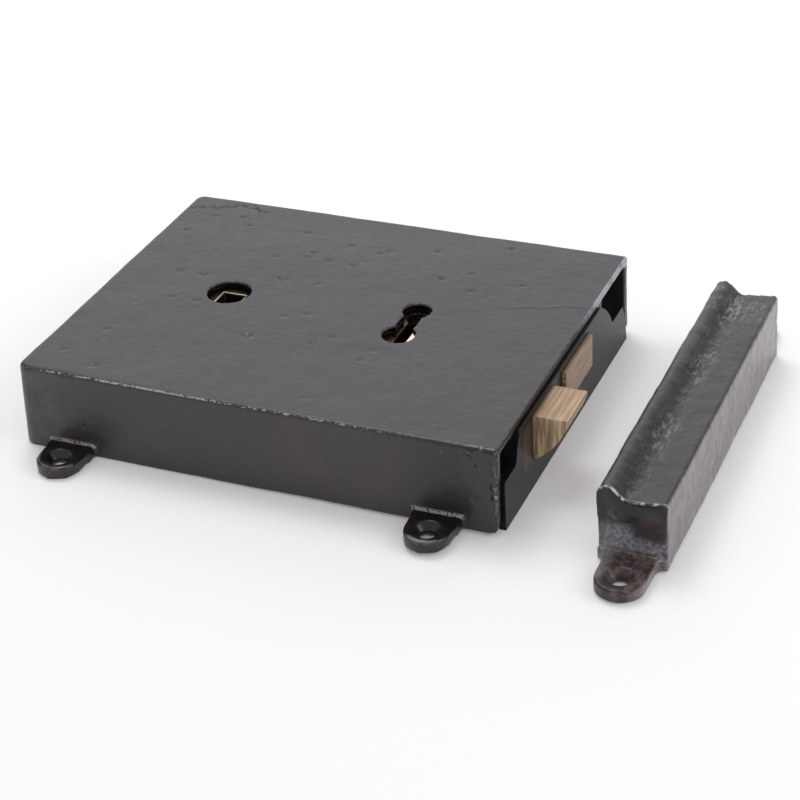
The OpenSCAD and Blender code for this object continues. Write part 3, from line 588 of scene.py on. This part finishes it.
def bronzed_cap():
    """Bronzed steel of the case's cap, mottled and fairly glossy, with painted light making it paler
    from the keyhole forwards, where light comes in through the keyhole.
    """
    s = Shader("bronzed_steel")
    mottle = s.noise(380, 4)
    tone = s.mix(s.ramp(mottle, 0.38, 0.66), linear(74, 58, 44), linear(104, 84, 64))
    tone = s.mix(s.ramp(s.noise(1500, 3), 0.60, 0.68), tone, linear(206, 176, 134))
    # Painted light: the patch of the cap lit through the keyhole, from the keyhole forwards
    tone = s.mix(s.ramp(s.x, KEY_X + 2.0 * MM, KEY_X + 2.6 * MM), tone, linear(238, 216, 188))
    rough = s.math("ADD", 0.22, s.both(mottle, 0.14))
    return s.finish(tone, rough, s.bump(mottle, 0.04 * MM, 0.5), metallic=0.9)


def aged_brass(name, scale, turn, light, dark, deep):
    """Brass gone brown with age, its near faces painted paler as painted light; its drawn grain runs
    along the axes whose scale is small."""
    s = Shader(name)
    along = s.stretched(scale, turn)
    hair = s.noise(1500, 4, along, roughness=0.6)
    broad = s.ramp(s.noise(1000, 4, along, distortion=0.2), 0.34, 0.66)
    tone = s.mix(broad, dark, light)
    tone = s.mix(s.both(s.ramp(hair, 0.50, 0.72), 0.55), tone, deep)
    tone = s.mix(s.both(s.ramp(s.noise(90, 3), 0.45, 0.7), 0.3), tone, dark)
    # Painted light: faces turned towards the near side painted paler
    painted_near_light = s.both(s.ramp(s.normal_y, -0.5, -0.8), broad)
    tone = s.mix(s.both(painted_near_light, 0.9), tone, linear(244, 214, 172))
    rough = s.math("ADD", 0.32, s.both(hair, 0.20))
    return s.finish(tone, rough, s.bump(hair, 0.05 * MM, 0.6), metallic=0.3, specular=0.35)


def follower_bronze():
    """Nearly black bronze, with painted highlights only along the rim of its square hole and down its
    corners.
    """
    s = Shader("dark_bronze")
    mottle = s.noise(260, 4)
    tone = s.mix(s.ramp(mottle, 0.38, 0.66), linear(34, 24, 17), linear(60, 42, 28))
    across = s.math("ABSOLUTE", s.math("SUBTRACT", s.x, SPINDLE_X))
    along = s.math("ABSOLUTE", s.y)
    # Painted highlights along the rim of the square hole and down its corners
    square = s.near(s.either(across, along), SPINDLE_HALF + 0.12 * MM, 0.14 * MM, 0.10 * MM)
    rim_highlight = s.both(square, s.ramp(s.z, FOLLOWER_HIGH[2] - 0.8 * MM, FOLLOWER_HIGH[2] - 0.3 * MM))
    tone = s.mix(rim_highlight, tone, linear(238, 222, 200))
    corner = s.both(
        s.near(across, SPINDLE_HALF, 0.2 * MM, 0.1 * MM),
        s.near(along, SPINDLE_HALF, 0.2 * MM, 0.1 * MM),
    )
    tone = s.mix(s.both(corner, 0.6), tone, linear(170, 146, 118))
    rough = s.math("ADD", 0.24, s.both(mottle, 0.2))
    return s.finish(tone, rough, s.bump(mottle, 0.04 * MM, 0.4), metallic=0.5)


def turned_steel():
    """Plain machined steel with fine rings and light oil stains."""
    s = Shader("turned_steel")
    rings = s.noise(2400, 2, s.stretched((0.3, 0.3, 1)))
    tone = s.mix(s.ramp(s.noise(60, 3), 0.4, 0.65), linear(150, 150, 152), linear(120, 118, 118))
    rough = s.math("ADD", 0.28, s.both(rings, 0.14))
    return s.finish(tone, rough, s.bump(rings, 0.01 * MM, 0.4), metallic=1.0)


def evaluated(piece):
    """Replaces a piece's mesh by the mesh that its modifiers give."""
    graph = bpy.context.evaluated_depsgraph_get()
    source = piece.evaluated_get(graph)
    made = bpy.data.meshes.new_from_object(source, preserve_all_data_layers=True, depsgraph=graph)
    piece.modifiers.clear()
    piece.data = made


def copy_of(node, name):
    """A new object with a welded copy of a CAD node's mesh, without the normals stored in it."""
    mesh = frame["nodes"][node].data.copy()
    piece = bpy.data.objects.new(name, mesh)
    bpy.context.scene.collection.objects.link(piece)
    work = bmesh.new()
    work.from_mesh(mesh)
    bmesh.ops.remove_doubles(work, verts=work.verts, dist=WELD)
    work.to_mesh(mesh)
    work.free()
    stale = mesh.attributes.get("custom_normal")
    if stale is not None:
        mesh.attributes.remove(stale)
    return piece


def smooth_shaded(mesh):
    """Shades all faces of a mesh smoothly."""
    for polygon in mesh.polygons:
        polygon.use_smooth = True


def dress(piece, node, material):
    """Gives a piece its material and the body that its CAD node rides on, and hides that node."""
    piece.data.materials.clear()
    piece.data.materials.append(material)
    for polygon in piece.data.polygons:
        polygon.material_index = 0
    bodies = frame["record"]["behaviour"]["bodies"]
    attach(piece, next(name for name, nodes in bodies.items() if node in nodes))
    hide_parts(node)


def crisp_piece(node, name, material, edge, clamp=True):
    """A machined piece: the CAD shape with its sharp edges eased by a small round. With clamp, a
    shape's shortest edges keep all of its rounds smaller than themselves."""
    piece = copy_of(node, name)
    work = bmesh.new()
    work.from_mesh(piece.data)
    bmesh.ops.dissolve_limit(work, angle_limit=FLAT_ANGLE, verts=work.verts, edges=work.edges)
    work.to_mesh(piece.data)
    work.free()
    easing = piece.modifiers.new("edge", "BEVEL")
    easing.width = edge
    easing.segments = 2
    easing.limit_method = "ANGLE"
    easing.angle_limit = SHARP_ANGLE
    easing.use_clamp_overlap = clamp
    easing.harden_normals = True
    smooth_shaded(piece.data)
    evaluated(piece)
    dress(piece, node, material)


def vertex_rows(source, field, count):
    """Coordinates of a mesh's vertices or normals as rows of three."""
    rows = np.empty(count * 3)
    source.foreach_get(field, rows)
    return rows.reshape(-1, 3)


def cast_piece(node, name, material, voxel, rounds, relief):
    """A casting: the CAD shape with softly rounded edges and an uneven skin; relief(points, normals)
    gives how far each point of the skin moves outwards."""
    piece = copy_of(node, name)
    remesh = piece.modifiers.new("skin", "REMESH")
    remesh.mode = "VOXEL"
    remesh.voxel_size = voxel * 1
    remesh.adaptivity = 0
    evaluated(piece)
    soften = piece.modifiers.new("soften", "SMOOTH")
    soften.factor = 0.5
    soften.iterations = rounds
    evaluated(piece)
    mesh = piece.data
    points = vertex_rows(mesh.vertices, "co", len(mesh.vertices))
    normals = vertex_rows(mesh.vertex_normals, "vector", len(mesh.vertices))
    points += normals * relief(points, normals)[:, None]
    mesh.vertices.foreach_set("co", points.ravel())
    smooth_shaded(mesh)
    mesh.update()
    dress(piece, node, material)


def unevenness(points, wavelength, seed):
    """Smooth noise from -1 to 1 at each point, with bumps about one wavelength across."""
    shift = Vector((seed * 17.3, seed * 5.1, seed * 9.7))
    return np.array([noise.noise(Vector(p) / wavelength + shift) for p in points])


def smooth_step(value, low, high):
    """0 up to low and 1 from high on, smooth between them."""
    share = np.clip((value - low) / (high - low), 0, 1)
    return share * share * (3 - 2 * share)


def bell(distance, width):
    """1 at no distance, and nearly 0 at twice the width."""
    return np.exp(-((distance / width) ** 2))


def distance_to_line(x, y, places):
    """Distance in two coordinates of each point from a broken line through places given in mm."""
    nearest = np.full(len(x), 1.0)
    for (from_x, from_y), (to_x, to_y) in zip(places, places[1:]):
        run_x, run_y = (to_x - from_x) * MM, (to_y - from_y) * MM
        share = ((x - from_x * MM) * run_x + (y - from_y * MM) * run_y) / (run_x**2 + run_y**2)
        share = np.clip(share, 0, 1)
        gap_x = x - from_x * MM - share * run_x
        gap_y = y - from_y * MM - share * run_y
        nearest = np.minimum(nearest, np.sqrt(gap_x**2 + gap_y**2))
    return nearest


def cover_waves(points):
    """Gentle waves of the cover's outer skin; its inside stays plain."""
    x, y, z = points.T
    lean = COVER_DRAFT * (1 - np.clip(z / COVER_TOP_Z, 0, 1))
    past_side = np.maximum(np.abs(y) - COVER_HALF_W, COVER_REAR_X - x) - lean
    past_outside = np.maximum(past_side, z - COVER_TOP_Z)
    height = 0.20 * MM * unevenness(points, 26 * MM, 1)
    height += 0.09 * MM * unevenness(points, 8 * MM, 2)
    height += 0.04 * MM * unevenness(points, 3.2 * MM, 3)
    return height * smooth_step(past_outside, -1.6 * MM, -0.8 * MM)


def cover_top_marks(points):
    """Dents, a shrinkage crack and a faint raised line on the cover's top."""
    x, y, _ = points.T
    height = np.zeros(len(x))
    for dent_x, dent_y, radius, depth in COVER_DENTS:
        across = (x - dent_x * MM) * DENT_SQUEEZE
        along = y - dent_y * MM
        height -= depth * MM * bell(np.sqrt(across**2 + along**2), radius * MM / DENT_SHARPNESS)
    rough = 0.6 + 0.4 * unevenness(points, 3 * MM, 7)
    height -= 0.9 * MM * rough * bell(distance_to_line(x, y, COVER_CRACK), 0.6 * MM)
    height += 0.18 * MM * rough * bell(distance_to_line(x, y, COVER_RAISED_LINE), 0.7 * MM)
    return height


def cover_flash(points):
    """Lumpy ridges of flash down the near front corner."""
    x, y, z = points.T
    front = smooth_step(-y, COVER_HALF_W - 2 * MM, COVER_HALF_W - 1 * MM)
    lumpy = 0.7 + 0.8 * unevenness(points, 2.6 * MM, 9)
    ridges = sum(bell(distance_to_line(x, z, ridge), 0.9 * MM) for ridge in COVER_FLASH)
    return 0.6 * MM * front * lumpy * ridges


def cover_hole_lips(points, normals):
    """Fills the lips of the round holes, where the remeshing took some of the edge away."""
    x, y, z = points.T
    height = np.zeros(len(x))
    in_roof = z > COVER_TOP_Z - COVER_ROOF - 1 * MM
    not_upward = smooth_step(-normals[:, 2], -0.9, -0.5)
    for hole_x, hole_y, radius in COVER_HOLES:
        away = np.sqrt((x - hole_x) ** 2 + (y - hole_y) ** 2) - radius
        wall = smooth_step(-np.abs(away), -1.2 * MM, -0.6 * MM)
        height += 0.3 * MM * wall * in_roof * not_upward
    return height


def cover_relief(points, normals):
    """Skin of the cover."""
    flat = smooth_step(normals[:, 2], 0.6, 0.9)
    on_top = flat * smooth_step(points[:, 2], COVER_TOP_Z - 1.5 * MM, COVER_TOP_Z - 0.8 * MM)
    height = cover_waves(points) + on_top * cover_top_marks(points)
    return height + cover_flash(points) + cover_hole_lips(points, normals)


def keep_relief(points, normals):
    """Skin of the keep: soft hammered bumps over longer waves, a ragged ridge along the top of its
    near end and hollows below that, and little of any of it in its mouth."""
    x, y, z = points.T
    height = 0.26 * MM * unevenness(points, 22 * MM, 4)
    height += 0.16 * MM * unevenness(points, 6 * MM, 5)
    height += 0.06 * MM * unevenness(points, 2.4 * MM, 6)
    high = smooth_step(z, 15 * MM, 19 * MM)
    ridge = high * bell(y + KEEP_HALF_L - 0.8 * MM, 0.8 * MM)
    height += 0.25 * MM * ridge * (1 + unevenness(points, 3.5 * MM, 8))
    near_end = smooth_step(-y, KEEP_HALF_L - 2 * MM, KEEP_HALF_L - 1 * MM)
    end = high * smooth_step(-normals[:, 1], 0.7, 0.95) * near_end
    height -= 0.5 * MM * end * np.clip(unevenness(points, 5 * MM, 10) + 0.3, 0, 1)
    between_ends = np.abs(y) < KEEP_HALF_L - 2.4 * MM
    mouth = between_ends & (z < KEEP_HIGH[2] - 6 * MM) & (x < KEEP_HIGH[0] - 2.4 * MM)
    return np.where(mouth, 0.1, 1.0) * height


def make_brasses():
    """Brass of the latch, whose grain runs aslant along it, of the dead bolt and of the levers."""
    latch = aged_brass(
        "aged_brass_latch", (1, 0.04, 0.07), (0, math.radians(20), 0),
        linear(196, 168, 138), linear(162, 134, 104), linear(116, 90, 66),
    )
    bolt = aged_brass(
        "aged_brass_bolt", (0.05, 0.05, 1), (0, 0, 0),
        linear(196, 168, 142), linear(164, 136, 112), linear(118, 96, 78),
    )
    lever = aged_brass(
        "lever_brass", (1, 1, 0.1), (0, 0, 0),
        linear(206, 172, 112), linear(160, 126, 76), linear(110, 84, 48),
    )
    return latch, bolt, lever


def make_pieces():
    """Dresses the visible nodes, and gives the carried-over ones their materials."""
    cast_piece(
        "cover_casting", "cover", cast_iron_cover(), voxel=0.6 * MM, rounds=2, relief=cover_relief
    )
    cast_piece(
        "keep_casting", "keep", cast_iron_keep(), voxel=0.55 * MM, rounds=3, relief=keep_relief
    )
    black = forend_black()
    crisp_piece("forend_plate", "forend", black, edge=0.25 * MM)
    crisp_piece("forend_rivets", "forend_rivet_heads", black, edge=0.05 * MM)
    latch_brass, bolt_brass, lever_brass = make_brasses()
    crisp_piece("latch_head", "latch", latch_brass, edge=0.3 * MM)
    crisp_piece("dead_bolt_head", "dead_bolt", bolt_brass, edge=0.3 * MM)
    crisp_piece("case_cap", "cap", bronzed_cap(), edge=0.1 * MM)
    crisp_piece("follower", "spindle_follower", follower_bronze(), edge=0.15 * MM)
    for node in ("lever_lower", "lever_upper"):
        crisp_piece(node, node + "_dressed", lever_brass, edge=0.15 * MM, clamp=False)
    finishes = {
        "case_tray": case_black(),
        "latch_rivets": latch_brass,
        "dead_bolt_rivets": bolt_brass,
        "lever_spring_lower": lever_brass,
        "lever_spring_upper": lever_brass,
    }
    steel = turned_steel()
    for name, node in frame["nodes"].items():
        if not node.hide_render:
            node.data.materials.clear()
            node.data.materials.append(finishes.get(name, steel))


def floor_material():
    """Pale matt floor that looks white to the camera and in reflections, and keeps the shadow."""
    material = bpy.data.materials.new("pale_floor")
    material.use_nodes = True
    tree = material.node_tree
    bsdf = tree.nodes["Principled BSDF"]
    bsdf.inputs["Base Color"].default_value = (0.95, 0.935, 0.93, 1)
    bsdf.inputs["Roughness"].default_value = 0.9
    bsdf.inputs["Specular IOR Level"].default_value = 0.1
    bsdf.inputs["Emission Color"].default_value = (1, 1, 1, 1)
    rays = tree.nodes.new("ShaderNodeLightPath")
    seen = rays.outputs["Is Camera Ray"]
    for kind in ("Is Glossy Ray", "Is Transmission Ray"):
        either = tree.nodes.new("ShaderNodeMath")
        either.operation = "MAXIMUM"
        tree.links.new(seen, either.inputs[0])
        tree.links.new(rays.outputs[kind], either.inputs[1])
        seen = either.outputs[0]
    glow = tree.nodes.new("ShaderNodeMath")
    glow.operation = "MULTIPLY"
    glow.inputs[1].default_value = FLOOR_GLOW
    tree.links.new(seen, glow.inputs[0])
    tree.links.new(glow.outputs[0], bsdf.inputs["Emission Strength"])
    return material


def make_floor():
    """Floor through the foot of the cover's rear end and of the forend's lip."""
    fall = -FOREND_LOW[2] / (FOREND_HIGH[0] - COVER_REAR_X)
    mesh = bpy.data.meshes.new("floor")
    corners = [(x * FLOOR_HALF, y * FLOOR_HALF) for x, y in ((-1, -1), (1, -1), (1, 1), (-1, 1))]
    heights = [(x, y, -(x - COVER_REAR_X) * fall) for x, y in corners]
    mesh.from_pydata(heights, [], [(0, 1, 2, 3)])
    floor = bpy.data.objects.new("floor", mesh)
    bpy.context.scene.collection.objects.link(floor)
    mesh.materials.append(floor_material())


def make_light():
    """Pale surroundings, a soft lamp overhead, a weaker one behind that the tops mirror, and one on
    the right."""
    world = bpy.data.worlds.new("studio")
    bpy.context.scene.world = world
    world.use_nodes = True
    background = world.node_tree.nodes["Background"]
    background.inputs["Color"].default_value = (1, 1, 1, 1)
    background.inputs["Strength"].default_value = WORLD_LIGHT
    for name, place, width, power in LAMPS:
        data = bpy.data.lights.new(name, "AREA")
        data.shape = "RECTANGLE"
        data.size = width
        data.size_y = LAMP_DEPTH
        data.color = LAMP_COLOUR
        data.energy = power
        lamp = bpy.data.objects.new(name, data)
        lamp.location = place
        lamp.rotation_mode = "QUATERNION"
        lamp.rotation_quaternion = (CAMERA_TARGET - Vector(place)).to_track_quat("-Z", "Y")
        bpy.context.scene.collection.objects.link(lamp)


def make_camera():
    """Camera at the photograph's place; its azimuth is counted from the front, towards +X."""
    angles = (CAMERA_AZIMUTH, CAMERA_ELEVATION, CAMERA_ROLL)
    azimuth, elevation, roll = (math.radians(angle) for angle in angles)
    flat = math.cos(elevation)
    back = Vector((math.sin(azimuth) * flat, -math.cos(azimuth) * flat, math.sin(elevation)))
    level = (-back).cross(Vector((0, 0, 1))).normalized()
    upright = level.cross(-back)
    right = level * math.cos(roll) + upright * math.sin(roll)
    up = upright * math.cos(roll) - level * math.sin(roll)
    camera = bpy.data.objects.new("camera", bpy.data.cameras.new("camera"))
    camera.matrix_world = Matrix((right, up, back)).transposed().to_4x4()
    camera.location = CAMERA_TARGET + back * CAMERA_DISTANCE
    camera.data.lens = CAMERA_LENS
    camera.data.sensor_width = 36
    camera.data.clip_start = 0.01
    camera.data.clip_end = 50
    bpy.context.scene.collection.objects.link(camera)
    bpy.context.scene.camera = camera


make_camera()
make_light()
make_floor()
make_pieces()
bpy.context.scene.view_settings.view_transform = "Standard"
